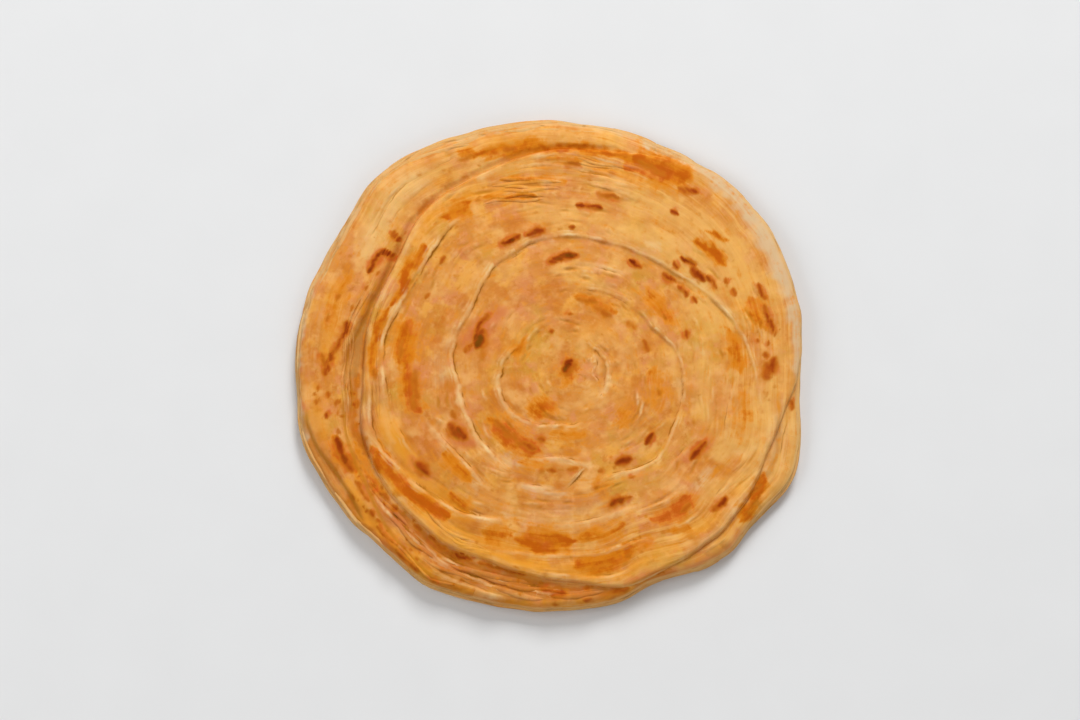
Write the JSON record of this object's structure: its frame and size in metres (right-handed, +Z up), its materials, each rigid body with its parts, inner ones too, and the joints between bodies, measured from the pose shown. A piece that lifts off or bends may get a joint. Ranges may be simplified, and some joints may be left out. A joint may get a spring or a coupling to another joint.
{
  "type": "coil-layered flatbread",
  "caption": "Round pan-browned flatbread of pleated dough wound in a flat coil, with overlapping turns, a two-tiered rim and a flat underside.",
  "frame": {"origin": "middle of the flat underside, on the centre of the bread's outline", "axes": "+Z up out of the browned top; +X towards the right of the cook; +Y away from the cook, so the two-tiered side of the rim faces -Y"},
  "size_m": [0.18, 0.1766, 0.011],
  "materials": {
    "browned_crust": "pan-browned wheat dough with a thin film of fat: golden tan, satin, with orange washes and small dark brown spots"
  },
  "bodies": {
    "root": {"paratha": "browned_crust"}
  },
  "joints": []
}
